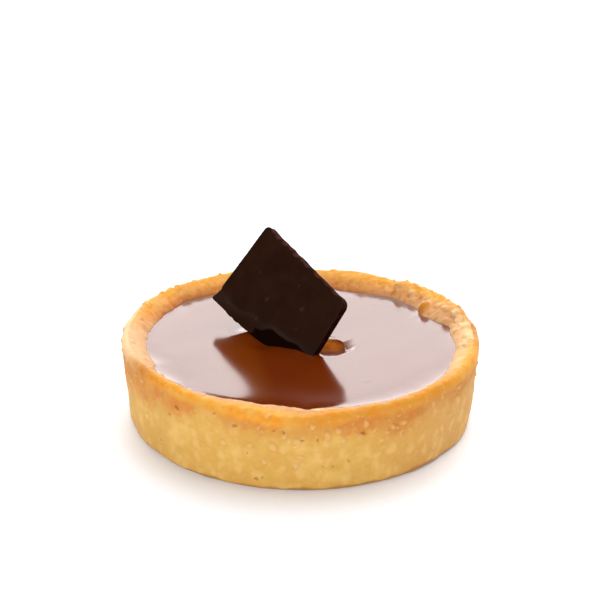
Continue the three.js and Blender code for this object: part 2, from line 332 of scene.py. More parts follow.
# The softboxes and the floor, in metres: each softbox's place, aim, size and radiance
SOFTBOXES = {
    "top_softbox": ((0.16, 0.4, 1.25), (0, 0, 0), (1.15, 1.1), 4.0),
    "front_softbox": ((-0.35, -1.2, 0.9), (0, 0, 0.02), (1.0, 0.7), 4.2),
}
FLOOR_SIZE = 8.0
FLOOR_GLOW = 0.17

# The camera, fitted to the photograph: it looks along +Y and down
CAMERA_DISTANCE = 350  # from the middle of the tart's foot
CAMERA_ELEVATION = 25.804
CAMERA_TURNS = [(0.065, "Z"), (68.28, "X"), (0.822767, "Z")]
FOCAL_IN_PIXELS = 4.3598 * CAMERA_DISTANCE
PHOTO_WIDTH = 600
SENSOR_WIDTH = 36


# -------- shape functions

def apart_on_circle(angle, middle):
    """How many degrees lie between two angles, from 0 to 180."""
    return np.abs((angle - middle + 180) % 360 - 180)


def swell(place, middle, reach):
    """1 at the middle, falling smoothly to 0 at the reach. The place is an angle, or a length,
    which is always far below 180."""
    apart = apart_on_circle(place, middle)
    return np.where(apart < reach, 0.5 + 0.5 * np.cos(np.pi * apart / reach), 0)


def swells(place, entries):
    return sum(size * swell(place, middle, reach) for middle, reach, size in entries)


def unit(value):
    """The value, kept between 0 and 1."""
    return np.clip(value, 0, 1)


def ease(t):
    t = unit(t)
    return t * t * (3 - 2 * t)


def within(angle, middle, reach, fade):
    """1 well within the reach of the middle, falling to 0 over the last `fade` degrees."""
    return ease((reach - apart_on_circle(angle, middle)) / fade)


def lerp(a, b, t):
    return a + (b - a) * t


def cell_value(i, j, seed):
    """A fixed random number between 0 and 1 for each cell of a grid."""
    wave = np.sin(i * 127.1 + j * 311.7 + seed * 74.7) * 43758.5453
    return wave - np.floor(wave)


def cells_round(size):
    return round(2 * pi * RIM_RADIUS / size)


def noise(angle, along, size, seed):
    """Smooth noise from -1 to 1 in cells about `size` wide, joined up after a full turn."""
    cells = cells_round(size)
    u = (angle % 360) / 360 * cells
    v = along / size
    i = np.floor(u)
    j = np.floor(v)
    across = ease(u - i)
    up = ease(v - j)

    def at(di, dj):
        return cell_value((i + di) % cells, j + dj, seed)

    low = lerp(at(0, 0), at(1, 0), across)
    high = lerp(at(0, 1), at(1, 1), across)
    return 2 * lerp(low, high, up) - 1


def layered(kind, angle, along=0):
    return sum(size * noise(angle, along, cell, seed) for size, cell, seed in NOISES[kind])


def domes(kind, angle, along, where=1.0):
    """The height, from 0 to 1, of scattered domes, one at most in each cell. They are all there
    where `where` is 1, and none where it is 0."""
    size, seed, share, smallest, largest, squash = DOMES[kind]
    cells = cells_round(size)
    u = (angle % 360) / 360 * cells
    v = along / size
    height = np.zeros_like(u)
    for di in (-1, 0, 1):
        for dj in (-1, 0, 1):
            i = np.floor(u) + di
            j = np.floor(v) + dj
            across, up, chance, width = (
                cell_value(i % cells, j, seed + draw) for draw in DOME_DRAWS)
            centre_u = i + 0.5 + DOME_JITTER * (across - 0.5)
            centre_v = j + 0.5 + DOME_JITTER * (up - 0.5)
            radius = lerp(smallest, largest, width ** 2)
            apart = np.hypot(u - centre_u, (v - centre_v) * squash) * size / radius
            height = np.maximum(height, unit(1 - apart ** 2) * (chance < share * where))
    return height


def placed(angle, level, marks, spread=1.0):
    """The height, from 0 to 1, of the tallest of some round marks: angle, level and radius. The
    level is a height on the wall or a radius on the slope."""
    tallest = np.zeros_like(level)
    for middle, mark_level, radius in marks:
        sideways = np.radians(apart_on_circle(angle, middle)) * RIM_RADIUS
        apart = np.hypot(sideways, level - mark_level) / (radius * spread)
        tallest = np.maximum(tallest, unit(1 - apart ** 2))
    return tallest


# -------- the crust's shape

def rim_relief(angle, along):
    crumbliness = lerp(LEAST_CRUMBLY, 1, swell(angle, *CRUMBLY_STRETCH))
    return layered("rim", angle, along) * crumbliness


def crumb(angle, radius):
    """The single large crumb, as a height above the rim's slope."""
    sideways = np.radians(apart_on_circle(angle, CRUMB_ANGLE)) * radius
    apart = np.hypot(sideways / CRUMB_SIZE[0], (radius - CRUMB_RADIUS) / CRUMB_SIZE[1])
    return CRUMB_HEIGHT * np.exp(-(apart ** 3))


def rim_crest(angle):
    crest = CREST_HEIGHT + CREST_TILT * np.sin(np.radians(angle)) + swells(angle, CREST_SWELLS)
    crest += within(angle, *FRONT_STRETCH) * (layered("front crest", angle) - FRONT_DROP)
    return crest + RIM_SHARE * rim_relief(angle, 0)


def smooth_edge(angle):
    return FILLING_RADIUS + swells(angle, EDGE_SWELLS) + layered("edge", angle)


def edge_radius(angle):
    return smooth_edge(angle) + layered("edge grain", angle)


def edge_rise(angle, from_edge):
    """How far the filling stands above its flat level near the crust: it curls up, less at the
    back, and climbs steadily at the front left."""
    brim = swells(angle, BRIM_SWELLS)
    curl = MENISCUS_RISE * (1 + brim - swells(angle, FLAT_SWELLS))
    curl *= np.exp(-from_edge / (MENISCUS_REACH * (1 + brim)))
    up_the_climb = CLIMB_REACH * np.sqrt(swell(angle, *CLIMB_STRETCH)) - from_edge
    return curl + CLIMB_SLOPE / 2 * (up_the_climb + np.hypot(up_the_climb, CLIMB_SOFTNESS))


def crust_rows(angle):
    """The case's section at each angle, as rows of radius and height. Also each row's distance
    along the section, its share of the way down the rim's slope and whether it shows, and how
    far each point of the wall is below the crest."""
    foot = FOOT_RADIUS + swells(angle, FOOT_SWELLS) + layered("foot", angle)
    crest = rim_crest(angle)
    edge = edge_radius(angle)
    wall_top = crest - RIM_ROUNDING
    zero = np.zeros_like(angle)
    rows = []

    def add(radius, height, along=0.0, share=0.0, shown=1.0):
        rows.append((radius + zero, height + zero, along, share, shown))

    for share in (0, 0.5, 0.9):
        add(foot * share, 0, shown=0)
    for turn in np.radians(np.linspace(0, 75, 4)):
        inwards = FOOT_ROUNDING * (1 - sin(turn))
        add(foot - inwards, FOOT_ROUNDING * (1 - cos(turn)), shown=0)

    wall_count = round((CREST_HEIGHT - RIM_ROUNDING - FOOT_ROUNDING) / GRAIN)
    for t in np.linspace(0, 1, wall_count + 1):
        height = lerp(FOOT_ROUNDING, wall_top, t)
        lean = (RIM_RADIUS - foot) * (height / wall_top) ** WALL_CURVE
        add(foot + lean + layered("wall", angle, height), height, height.mean())

    wall_length = rows[-1][2]
    for turn in np.radians(np.linspace(10, 90, 9)):
        outer = RIM_RADIUS - RIM_ROUNDING * (1 - cos(turn))
        height = wall_top + RIM_ROUNDING * sin(turn)
        add(outer + layered("wall", angle, wall_top), height, wall_length + RIM_ROUNDING * turn)

    crest_radius = RIM_RADIUS - RIM_ROUNDING
    crest_along = rows[-1][2]
    slope_length = hypot(crest_radius - FILLING_RADIUS, CREST_HEIGHT - FILLING_LEVEL)
    for t in np.linspace(0, 1, round(slope_length / GRAIN) + 1)[1:]:
        radius = lerp(crest_radius, edge, t)
        slope = lerp(crest, FILLING_LEVEL + edge_rise(angle, 0), t ** SLOPE_POWER)
        lump = RIM_SHARE * sin(pi * t) * rim_relief(angle, crest_radius - radius)
        add(radius, slope + lump + crumb(angle, radius), crest_along + slope_length * t, t)

    inside = [(edge - 0.1, FILLING_LEVEL - 1), (edge - INNER_TAPER / 2, INNER_MIDDLE),
              (edge - INNER_TAPER, FLOOR_THICKNESS), (0, FLOOR_THICKNESS)]
    for radius, height in inside:
        add(radius, height, share=1, shown=0)
    radius, height, along, share, shown = (np.array(column) for column in zip(*rows))
    below = np.where(share[:, None] > 0, 0, crest - height)
    return radius, height, along, share, shown, below


def section_normals(radius, height):
    """Outward normals in the section's plane, from the rows before and after each row."""
    d_radius = np.gradient(radius, axis=0)
    d_height = np.gradient(height, axis=0)
    length = np.hypot(d_radius, d_height) + 1e-9
    return d_height / length, -d_radius / length


def browning(angle, height):
    """How browned the wall is: golden low down and browner under the rim, in blotches."""
    border = BROWN_HEIGHT + swells(angle, BROWN_SWELLS) + layered("brown border", angle, height)
    blotches = 0.85 + layered("brown blotches", angle, height)
    return unit(ease((height - border) / BROWN_FADE) * blotches)


def wall_cover(angle, bent, along, wander, height):
    """The blisters, grits and pits of the wall: how far they stand out, and masks."""
    level = height + wander
    unseen = 1 - swell(angle, *SEEN_STRETCH) ** 0.3
    high = ease((height - BLISTER_LEVEL) / BLISTER_FADE)
    blisters = np.maximum(placed(bent, level, PALE_BLISTERS),
                          unseen * domes("blisters", bent, along + wander, high))
    hollows = placed(bent, level + 0.25, PALE_BLISTERS, MARK_SPREAD)
    faint = domes("faint blisters", bent, along + wander)
    pits = np.maximum(placed(bent, level, WALL_PITS),
                      unseen * domes("pits", bent, along + wander))
    out = BLISTER_HEIGHT * blisters ** 0.6 + FAINT_HEIGHT * faint ** 0.5
    out += GRIT_HEIGHT * domes("grits", bent, along)
    out -= PIT_DEPTH * pits + HOLLOW_DEPTH * hollows * (blisters == 0)
    foot = SHADE_HEIGHT + swells(angle, SHADE_SWELLS) + layered("foot shade", angle)
    return out, {
        "brown": browning(angle, height),
        # blister: paler colour, partly their own and partly painted highlight
        "blister": unit(blisters * 1.6),
        # ring: painted shadow round the blisters, over the shallow hollow there
        "ring": hollows * (1 - unit(blisters * 3)),
        "faint": faint,
        "pit": pits,
        "spot": placed(bent, level, BROWN_SPOTS, MARK_SPREAD),
        # foot: painted shade along the foot's underside
        "foot": ease((foot - height) / SHADE_FADE),
    }


def slope_masks(angle, bent, wander, radius):
    """Masks for the large crumb's front, painted darker as shade, and its top, painted lighter as
    highlight, and for the places round it painted browner as shade.
    """
    y = radius * np.sin(np.radians(angle))
    past_crumb = y - CRUMB_RADIUS * sin(radians(CRUMB_ANGLE))
    return {
        "crumb_painted_shade": crumb(angle, radius) * ease((0.3 - past_crumb) / 0.5),
        "crumb_painted_highlight": crumb(angle, radius) * ease((past_crumb - 0.1) / 0.5),
        "shade": placed(bent, radius + 0.5 * wander, SHADED_PLACES) ** 0.5,
    }


def crust_cover(angle, along, share, height, radius, below):
    """How far blisters, pits and crumbs stand out of the smooth crust, and colour masks."""
    zero = np.zeros_like(height)
    angle, along, share = angle + zero, along[:, None] + zero, share[:, None] + zero
    slope = (share > 0) + zero
    wall = 1 - slope
    top = np.maximum(slope, ease((CREST_BAND - below) / CREST_FADE))
    crumbly = swell(angle, *CRUMBLY_STRETCH)
    bent = angle + np.degrees(layered("marks sideways", angle, along) / RIM_RADIUS)
    wander = layered("marks along", angle, along)

    wall_out, wall_masks = wall_cover(angle, bent, along, wander, height)
    crumbs = np.abs(layered("coarse crumbs", bent, along + wander))
    crumbs += np.abs(layered("fine crumbs", bent, along - wander))
    pebbles = domes("pebbles", bent, along + wander, crumbly)
    lumps = placed(bent, radius + wander, RIM_LUMPS)
    specks = slope * placed(bent, radius + 0.4 * wander, CREST_CRUMBS)
    out = layered("roughness", angle, along) + wall * wall_out
    out += top * lerp(*CRUMBS_HEIGHT, crumbly) * (crumbs - 0.6)
    out += slope * (LUMP_HEIGHT * lumps + PEBBLE_HEIGHT * crumbly * pebbles ** 0.7)
    out *= 1 - 0.85 * slope * ease((share - 0.75) / 0.2)
    out += SPECK_HEIGHT * specks

    # The tops of crumbs, pebbles and lumps are painted lighter as highlight
    pale = crumbly * (0.5 * crumbs + 0.7 * pebbles - 0.15) + 0.7 * lumps
    masks = {
        "slope": slope,
        "share": share,
        "below": below,
        "crumb": top * unit(pale),
        # painted warm light in the hollows between crumbs
        "crease_painted_glow": top * crumbly * ease((0.42 - crumbs) / 0.3),
        # painted highlight on the raised crumbs at the front of the crest
        "speck_painted_highlight": unit(1.5 * specks),
    }
    stretches = {zone: {key: np.max([within(angle, *stretch) for stretch in entries], axis=0)
                        for key, entries in COLOUR_STRETCHES[zone].items()}
                 for zone in COLOUR_STRETCHES}
    wall_masks.update(stretches["wall"])
    rim_masks = slope_masks(angle, bent, wander, radius) | stretches["slope"]
    masks.update({key: wall * values for key, values in wall_masks.items()})
    masks.update({key: slope * values for key, values in rim_masks.items()})
    return out, masks | stretches["both"]


def make_crust():
    angle = np.arange(CRUST_SEGMENTS) * 360 / CRUST_SEGMENTS
    radius, height, along, share, shown, below = crust_rows(angle)
    out, masks = crust_cover(angle, along, share, height, radius, below)
    out *= shown[:, None]
    normal_radius, normal_height = section_normals(radius, height)
    crust = turned_mesh("tart_crust", angle, radius + out * normal_radius,
                        height + out * normal_height, masks, [crust_material()])
    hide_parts("crust")
    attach(crust, "root")


# -------- meshes

def rings_to_faces(rows, columns):
    """The faces of a closed skin of rings of points, whose ends close on two last points."""
    here = np.arange(columns)
    after = (here + 1) % columns
    count = rows * columns
    last = count - columns
    faces = []

    def add(*corners):
        faces.extend(np.stack(np.broadcast_arrays(*corners), axis=1).tolist())

    for base in range(0, last, columns):
        above = base + columns
        add(base + here, base + after, above + after, above + here)
    add(count, after, here)
    add(count + 1, last + here, last + after)
    return faces


def turned_mesh(name, angle, radius, height, masks, *materials):
    """A closed solid of revolution from rows of radius and height at each angle, whose first
    and last rows are on the axis. Each mask becomes a point attribute of its name."""
    cosine = np.cos(np.radians(angle))
    sine = np.sin(np.radians(angle))
    inner = slice(1, -1)
    points = np.stack([radius[inner] * cosine, radius[inner] * sine, height[inner]], axis=-1)
    rows, columns = points.shape[:2]
    ends = [[0, 0, height[0, 0]], [0, 0, height[-1, 0]]]
    vertices = np.concatenate([points.reshape(-1, 3), ends])
    per_point = {key: np.concatenate([values[inner].reshape(-1), values[[0, -1], 0]])
                 for key, values in masks.items()}
    return mesh_object(name, vertices, rings_to_faces(rows, columns), per_point, *materials)


def placing(place, turns):
    """The matrix that turns a thing about its own axes, in this order, and puts it in place."""
    matrix = Matrix.Translation(place)
    for angle, axis in turns:
        matrix = matrix @ Matrix.Rotation(radians(angle), 4, axis)
    return matrix


def linked(name, data):
    """A new object of the scene, with this mesh, light or camera."""
    made = bpy.data.objects.new(name, data)
    scene.collection.objects.link(made)
    return made


def mesh_object(name, vertices, faces, per_point, materials, second=None):
    """A smooth object with these materials and point attributes. The second material goes to
    the faces where the attribute named `second` is over a half."""
    mesh = bpy.data.meshes.new(name)
    mesh.from_pydata((vertices * MM).tolist(), [], faces)
    mesh.shade_smooth()
    for key, values in per_point.items():
        attribute = mesh.attributes.new(key, "FLOAT", "POINT")
        attribute.data.foreach_set("value", values.astype(np.float32))
    for material in materials:
        mesh.materials.append(material)
    if second:
        for polygon in mesh.polygons:
            polygon.material_index = int(per_point[second][list(polygon.vertices)].mean() > 0.5)
    mesh.update()
    return linked(name, mesh)


# -------- the filling's shape

def line_mark(x, y, start, end, half_width):
    """1 along a line, falling to 0 at the half width from it and towards its ends."""
    run = np.array(end) - np.array(start)
    t = unit(((x - start[0]) * run[0] + (y - start[1]) * run[1]) / (run @ run))
    apart = np.hypot(x - start[0] - t * run[0], y - start[1] - t * run[1])
    return unit(1 - (apart / half_width) ** 2) * np.sqrt(4 * t * (1 - t))


def dent_place(x, y):
    """A point's place in the pull mark, whose edge is 1 from its middle, and how far beyond
    the mark's middle line it is. That line climbs at its right end."""
    u = (x - DENT_CENTRE[0]) / (DENT_WIDTH / 2)
    v = (y - DENT_CENTRE[1]) / (DENT_LENGTH / 2)
    return u, v, v - DENT_SLANT * u - DENT_CLIMB * np.maximum(u - DENT_CLIMB_START, 0)


def dent_inside(u, v):
    """How far inside the pull mark's outline a place is, except at its near side."""
    return 1 - u ** 2 - np.maximum(v, 0) ** 2


def dent_shape(x, y):
    """How deep the pull mark is, from 0 to 1. Its floor falls from a crisp far edge to the
    deepest place and climbs to its near edge, and a gentle lip leads up from there."""
    u, v, beyond = dent_place(x, y)
    inside = unit(dent_inside(u, v))
    floor = np.interp(beyond, *DENT_FLOOR)
    lip = np.interp(beyond, *DENT_LIP)
    return np.maximum(np.minimum(1, 2.2 * inside ** 0.6) * floor,
                      lip * np.exp(-((u - 0.3) / 1.2) ** 4))


def filling_surface(x, y, from_edge):
    """Height of the filling's surface above its flat level."""
    rise = edge_rise(np.degrees(np.arctan2(y, x)), from_edge)
    for lift_x, lift_y, reach, lift in SLAB_LIFTS:
        rise += lift * np.exp(-((x - lift_x) ** 2 + (y - lift_y) ** 2) / reach ** 2)
    waves = WAVE_HEIGHT * np.sin(x / 4.6 + 0.7) * np.sin(y / 3.9 + 1.9)
    ripples = RIPPLE_HEIGHT * np.sin((x - y) / 2.3)
    lines = sum(depth * line_mark(x, y, start, end, half_width)
                for start, end, half_width, depth in SKIN_LINES)
    return rise + waves + ripples - lines - DENT_DEPTH * dent_shape(x, y)


def filling_masks(angle, x, y, from_edge):
    """Where the caramel is torn, and where it is painted darker as shade near the pull mark's
    walls, paler as reflection along its edge, or lighter as light round a line.
    """
    u, v, beyond = dent_place(x, y)
    beyond_near_edge = beyond + DENT_NEAR_EDGE
    inside = dent_inside(u, v)
    return {
        "dent": ease(8 * (inside + 0.01)) * (beyond_near_edge > 0),
        # deep: low near the pull mark's walls, where shade is painted
        "deep": np.minimum(4 * inside, 0.5 * (beyond_near_edge - 0.26)),
        # painted reflection in a paler band along the edge
        "skin": np.exp(-(from_edge / EDGE_REFLECTION_REACH) ** 2) * swells(angle, EDGE_REFLECTION_PLACES),
        # painted light round a line across the caramel
        "painted_warm_light": ease(line_mark(x, y, *PAINTED_LIGHT_LINE)),
    }


def make_filling():
    angle = np.arange(FILLING_SEGMENTS) * 360 / FILLING_SEGMENTS
    edge = edge_radius(angle) + FILLING_OVERLAP
    row_count = round(FILLING_RADIUS / FILLING_SPACING) + 1
    rings = edge * (1 - np.linspace(0, 1, row_count)[:, None])
    x = rings * np.cos(np.radians(angle))
    y = rings * np.sin(np.radians(angle))
    from_edge = np.maximum(smooth_edge(angle) - rings, 0)
    surface = FILLING_LEVEL + filling_surface(x, y, from_edge)

    # Under the surface: the bottom's middle, the bottom's edge and the side's middle
    under_radius = [0 * edge, edge - INNER_TAPER, edge - INNER_TAPER / 2]
    under_height = [FLOOR_THICKNESS, FLOOR_THICKNESS, INNER_MIDDLE]
    radius = np.concatenate([under_radius, rings])
    height = np.concatenate([np.outer(under_height, 1 + 0 * edge), surface])
    masks = {key: np.pad(values, ((len(under_height), 0), (0, 0)))
             for key, values in filling_masks(angle, x, y, from_edge).items()}
    filling = turned_mesh("tart_filling", angle, radius, height, masks,
                          [filling_material(), torn_material()], "dent")
    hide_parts("filling")
    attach(filling, "root")


# -------- the slab's shape

def slab_path():
    """The slab's closed outline with rounded corners, with as many points at each corner."""
    corners = [np.array(corner[:2]) for corner in SLAB_CORNERS]
    path = []
    for k, (_, _, rounding) in enumerate(SLAB_CORNERS):
        corner = corners[k]
        before = corners[k - 1] - corner
        after = corners[(k + 1) % 4] - corner
        start = corner + before / np.linalg.norm(before) * rounding
        end = corner + after / np.linalg.norm(after) * rounding
        for t in np.linspace(0, 1, CORNER_POINTS):
            path.append((1 - t) ** 2 * start + 2 * t * (1 - t) * corner + t ** 2 * end)
    return np.array(path + path[:1])


def slab_outline():
    """Evenly spaced points round the slab, toothed where it was broken and cut, and each
    one's share of the way along the top edge, under 0 or over 1 elsewhere."""
    path = slab_path()
    travelled = np.concatenate([[0], np.cumsum(np.hypot(*np.diff(path, axis=0).T))])
    wanted = np.arange(SLAB_OUTLINE_POINTS) * travelled[-1] / SLAB_OUTLINE_POINTS
    outline = np.stack([np.interp(wanted, travelled, column) for column in path.T], axis=1)
    top_start, top_end = travelled[[CORNER_POINTS - 1, CORNER_POINTS]]
    top = (wanted - top_start) / (top_end - top_start)
    teeth = round((top_end - top_start) / BREAK_STEP)
    tooth_heights = BREAK_TOOTH * cell_value(np.arange(teeth + 1), 0, 6)
    tooth_heights[[0, -1]] = 0
    outline[:, 1] -= np.interp(top, np.arange(teeth + 1) / teeth, tooth_heights, 0, 0)
    left = outline[:, 0] < SLAB_SIDES
    low = outline[:, 1] < SLAB_SIDES
    outline[:, 0] += left * swells(outline[:, 1], LEFT_SWELLS)
    low_teeth = np.maximum(cell_value(np.floor(outline[:, 0] / LOW_STEP), 0, 9) - 0.5, 0)
    outline[:, 1] -= low * low_teeth * swells(outline[:, 0], LOW_TEETH)
    return outline, top


def ragged(count, size, step, seed):
    """Noise from 0 to the size along a closed run of points, in steps of about `step` points."""
    knots = round(count / step)
    place = np.arange(count) * knots / count
    values = cell_value(np.arange(knots + 1) % knots, 3, seed)
    return size * np.interp(place, np.arange(knots + 1), values)


def below_ridge(x, z):
    ridge = RIDGE_HEIGHT + x * tan(radians(RIDGE_SLOPE)) + swells(x, RIDGE_SWELLS)
    return (ridge - z) * cos(radians(RIDGE_SLOPE))


def shave(x, z):
    """How far the front face is cut back below the ridge, softly rounded at the ridge."""
    below = below_ridge(x, z)
    softness = lerp(*RIDGE_SOFTNESS, ease((x + 9) / 9))
    steepness = tan(radians(SHAVE_ANGLE)) * (1 - swells(x, SHAVE_SWELLS))
    return steepness * 0.5 * (below + np.hypot(below, softness))


def scuffed(x, z):
    mark = np.zeros_like(x)
    for scuff_x, scuff_z, radius in SCUFFS:
        apart = np.hypot((x - scuff_x) / 0.6, z - scuff_z - 0.5 * (x - scuff_x)) / radius
        mark = np.maximum(mark, unit(1 - apart ** 2))
    return mark


def face_depth(x, z):
    """How far back the front face is: the shave, slow waves and the scuffs' small dips."""
    waves = 0.02 * np.sin(x / 3.1 + 0.4) * np.sin(z / 2.7) + 0.008 * np.sin((x + 2 * z) / 1.9)
    return shave(x, z) + waves - SCUFF_DEPTH * scuffed(x, z)


def slab_edges(outline, top):
    """Round the outline: where it was broken, the front arris's width, and how light chips are."""
    count = len(outline)
    broken = ease(1 + 8 * np.minimum(top, 1 - top))
    flaked = broken * ease((0.75 - top) / 0.3)
    chips = np.zeros(count)
    for place, half_width, size in EDGE_CHIPS:
        apart = (outline[:, 0] - place) / half_width
        chips = np.maximum(chips, size * unit(1 - apart ** 2) ** 0.5)
    arris = ARRIS_WIDTH + ragged(count, *ARRIS_RAGS)
    arris += broken * (chips + ragged(count, *BREAK_RAGS)) + flaked * ragged(count, *FLAKE_RAGS)
    chip = broken * unit(chips / 0.5 + flaked * ragged(count, *FLAKE_TINTS))
    return broken, arris, chip


def slab_rows(outline, top):
    """The slab's skin as rings from the middle of its front over its edge to its back: points
    in the slab's plane, how far back they are, how broken and how chipped."""
    broken, arris, chip = slab_edges(outline, top)
    along = np.roll(outline, -1, axis=0) - np.roll(outline, 1, axis=0)
    along /= np.linalg.norm(along, axis=1)[:, None]
    outward = np.stack([-along[:, 1], along[:, 0]], axis=1)
    middle = outline.mean(axis=0)
    zero = np.zeros(len(outline))
    rows = []

    def add(ring, depth, broken_here=0.0, chip_here=0.0):
        rows.append((ring, depth + zero, broken_here + zero, chip_here + zero))

    face_edge = outline - outward * arris[:, None]
    for t in np.linspace(0, 1, SLAB_RINGS + 1)[1:]:
        ring = lerp(middle, face_edge, t)
        add(ring, face_depth(*ring.T))
    front = face_depth(*outline.T)
    for turn in np.radians((22, 45, 67, 90)):
        inset = arris * (1 - sin(turn))
        add(outline - outward * inset[:, None], front + arris * (1 - cos(turn)), 1, chip)
    size, step, seed = SIDE_RAGS
    for row in range(1, SLAB_SIDE_ROWS):
        rough = ragged(len(outline), size, step, seed + row) - size / 2
        out = rough * lerp(0.35, 1, broken) - BREAK_INSET * broken
        depth = lerp(front + arris, SLAB_THICKNESS - SLAB_EDGE, row / SLAB_SIDE_ROWS)
        add(outline + outward * out[:, None], depth, 1)
    for turn in np.radians((90, 60, 30, 0)):
        inset = SLAB_EDGE * (1 - sin(turn))
        add(outline - outward * inset, SLAB_THICKNESS - SLAB_EDGE * (1 - cos(turn)), 1)
    back_edge = outline - outward * SLAB_EDGE
    for t in (0.75, 0.5, 0.25):
        ring = lerp(middle, back_edge, t)
        waves = 0.02 * np.sin(ring[:, 0] / 2.9) * np.sin(ring[:, 1] / 3.3)
        add(ring, SLAB_THICKNESS - np.abs(waves))
    return [np.array(column) for column in zip(*rows)]


def slab_masks(x, z, depth, broken, chip):
    """Where the slab is broken, chipped or scuffed, where a highlight is painted along its ridge,
    and where it is cut away and painted dark as shade.
    """
    below = below_ridge(x, z)
    # painted shade over the cut below the ridge, whose faces also take the dull material
    painted_cut_shade = ease((below - lerp(*CUT_SHADE_START, ease(x / 2.5))) / 0.35) * ease((x + 2.4) / 1.2)
    # painted highlight along the ridge, in the same mask as the real scuffs
    painted_glint = np.maximum(0.5 * swell(x, 5, 6), 0.3 * swell(x, -9, 6))
    painted_glint *= np.exp(-((below + 0.2) / 0.45) ** 2)
    on_front = depth < 2
    return {"painted_cut_shade": painted_cut_shade, "broken": np.maximum(broken, painted_cut_shade), "chip": chip,
            "scuff_and_painted_glint": np.maximum(scuffed(x, z), painted_glint) * on_front}


def make_slab():
    outline, top = slab_outline()
    rings, depth, broken, chip = slab_rows(outline, top)
    x, z = rings[..., 0], rings[..., 1]
    points = np.stack([x, depth, z], axis=-1).reshape(-1, 3)
    middle_x, middle_z = outline.mean(axis=0)
    ends = [[middle_x, float(face_depth(middle_x, middle_z)), middle_z],
            [middle_x, SLAB_THICKNESS, middle_z]]
    place = placing(SLAB_CENTRE, SLAB_TURNS)
    turned = np.concatenate([points, ends]) @ np.array(place.to_3x3()).T
    per_point = {key: np.concatenate([values.reshape(-1), [0, 0]])
                 for key, values in slab_masks(x, z, depth, broken, chip).items()}
    slab = mesh_object("dark_slab", turned + np.array(place.translation),
                       rings_to_faces(*x.shape), per_point,
                       [slab_material(), broken_material()], "broken")
    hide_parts("chocolate_slab")
    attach(slab, "root")


# -------- materials

class Nodes:
    """The node tree of a material or a world, with short calls for the nodes used here."""

    def __init__(self, owner):
        owner.use_nodes = True
        self.owner = owner
        self.tree = owner.node_tree
        self.shader = self.tree.nodes.get("Principled BSDF") or self.tree.nodes["Background"]

    def add(self, kind, inputs=(), **settings):
        node = self.tree.nodes.new(kind)
        for key, value in settings.items():
            setattr(node, key, value)
        for key, value in dict(inputs).items():
            self.put(node.inputs[key], value)
        return node

    def put(self, socket, value):
        if isinstance(value, bpy.types.NodeSocket):
            self.tree.links.new(value, socket)
        else:
            socket.default_value = value

    def mask(self, name):
        return self.add("ShaderNodeAttribute", attribute_name=name).outputs["Fac"]

    def noise(self, scale, detail):
        """Noise from 0 to 1, about a half in most places, with so many cells in a metre."""
        coordinates = self.add("ShaderNodeTexCoord").outputs["Object"]
        made = self.add("ShaderNodeTexNoise", {
            "Vector": coordinates, "Scale": scale, "Detail": detail, "Roughness": 0.5})
        return made.outputs["Fac"]

    def ramp(self, value, low, high, top=1.0):
        """0 below low, and the top above high."""
        made = self.add("ShaderNodeMapRange", {
            "Value": value, "From Min": low, "From Max": high, "To Max": top},
            interpolation_type="SMOOTHSTEP")
        return made.outputs["Result"]

    def fade(self, value, low, high):
        """1 below low, 0 above high."""
        return self.math("SUBTRACT", 1.0, self.ramp(value, low, high))

    def centred(self, noise, size):
        """The noise round 0 instead of a half, times the size."""
        return self.times(self.math("SUBTRACT", noise, 0.5), size)

    def math(self, operation, a, b):
        made = self.add("ShaderNodeMath", {0: a, 1: b}, operation=operation)
        return made.outputs[0]

    def times(self, a, b):
        return self.math("MULTIPLY", a, b)

    def mix(self, share, a, b):
        made = self.add("ShaderNodeMix", {"Factor": share, 6: a, 7: b}, data_type="RGBA")
        return made.outputs[2]

    def tint(self, colour, mask, strength, other):
        """The colour, and some of the other where the mask, a socket or a name, is up."""
        if isinstance(mask, str):
            mask = self.mask(mask)
        return self.mix(self.times(mask, strength), colour, other)

    def bump(self, height, strength, distance):
        made = self.add("ShaderNodeBump", {
            "Height": height, "Strength": strength, "Distance": distance})
        self.put(self.shader.inputs["Normal"], made.outputs["Normal"])

    def set(self, **values):
        for key, value in values.items():
            self.put(self.shader.inputs[key.replace("_", " ")], value)


def srgb(r, g, b):
    """A colour from 0-255 screen values to the linear values that shaders take."""
    linear = [((v / 255 + 0.055) / 1.055) ** 2.4 if v > 10 else v / 255 / 12.92 for v in (r, g, b)]
    return (*linear, 1.0)


def wall_colour(n, fine, broad, patches, deeper):
    """Golden low down and browner above, with an amber band under the crest and blisters."""
    golden = n.mix(n.ramp(broad, 0.38, 0.62), srgb(222, 168, 76), srgb(234, 189, 98))
    golden = n.mix(n.ramp(patches, 0.3, 0.7), golden, srgb(224, 172, 76))
    golden = n.tint(golden, "tan", 0.7, srgb(222, 162, 78))
    golden = n.tint(golden, "faint", 0.55, srgb(240, 198, 116))
    brown = n.mix(n.ramp(patches, 0.3, 0.7), srgb(206, 126, 32), srgb(217, 141, 48))
    wall = n.mix(n.mask("brown"), golden, brown)
    wall = n.tint(wall, "spot", 0.6, srgb(216, 120, 24))

    below = n.mask("below")
    wander = n.math("ADD", n.centred(broad, 3.0), n.centred(fine, 1.2))
    band = n.fade(n.math("ADD", below, wander), 0.6, 3.2)
    amber = n.mix(n.ramp(patches, 0.35, 0.65), srgb(243, 157, 6), srgb(242, 176, 64))
    amber = n.mix(deeper, amber, srgb(220, 137, 2))
    wall = n.mix(n.times(n.mask("amber"), band), wall, amber)
    # painted light on the left side, under the crest
    pale = n.times(n.mask("pale"), n.fade(below, 0.3, 2.4))
    wall = n.tint(wall, pale, 0.8, srgb(255, 216, 164))

    # painted shadow round the blisters
    wall = n.tint(wall, "ring", 0.3, srgb(208, 126, 56))
    # blisters paler, partly their own colour and partly painted highlight
    wall = n.tint(wall, "blister", 0.5, srgb(246, 200, 128))
    wall = n.tint(wall, n.ramp(fine, 0.5, 0.75), 0.2, srgb(250, 210, 130))
    # painted shade along the foot's underside
    return n.tint(wall, "foot", 0.7, srgb(164, 112, 60))


